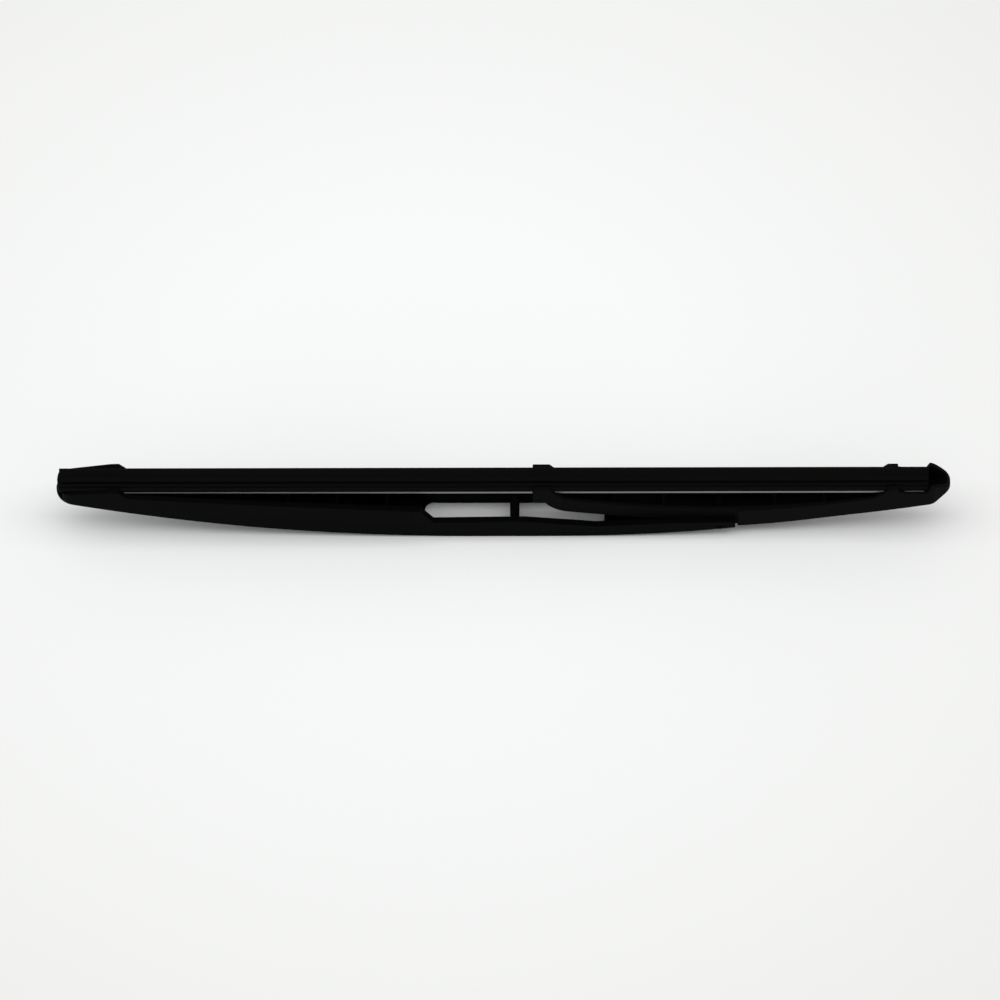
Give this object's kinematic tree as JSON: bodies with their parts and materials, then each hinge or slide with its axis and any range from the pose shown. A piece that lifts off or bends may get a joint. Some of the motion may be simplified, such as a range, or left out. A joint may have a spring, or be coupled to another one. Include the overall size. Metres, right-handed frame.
{
  "type": "wiper blade",
  "caption": "Rear window wiper blade: an arched plastic bow with an arm slot and cross-bar, a pivoting yoke with claws, and a rubber lip stiffened by steel strips.",
  "frame": {"origin": "on the axis of the cross-bar that takes the wiper arm's clip, midway between the bow's walls", "axes": "+X along the blade towards the yoke, +Y across the blade along the cross-bar, +Z from the arched back towards the wiping lip"},
  "size_m": [0.3055, 0.0164, 0.029],
  "materials": {
    "bow_plastic": "black satin moulded plastic",
    "yoke_plastic": "black fine-grained moulded plastic",
    "pin_plastic": "black smooth plastic",
    "lip_rubber": "matte black rubber",
    "strip_steel": "rolled stainless spring steel"
  },
  "bodies": {
    "bow": {"main_bow": "bow_plastic", "pivot_pin": "pin_plastic", "wiper_rubber": "lip_rubber", "vertebra_front": "strip_steel", "vertebra_rear": "strip_steel"},
    "yoke_lever": {"yoke": "yoke_plastic"}
  },
  "joints": [
    {"name": "yoke_pivot", "type": "hinge", "parent": "bow", "child": "yoke_lever", "pos_m": [0.07, 0, 0.0002], "axis": [0, 1, 0], "range_deg": [-5, 5], "stiffness_Nm_per_rad": 1, "deforming": ["wiper_rubber", "vertebra_front", "vertebra_rear"]}
  ]
}
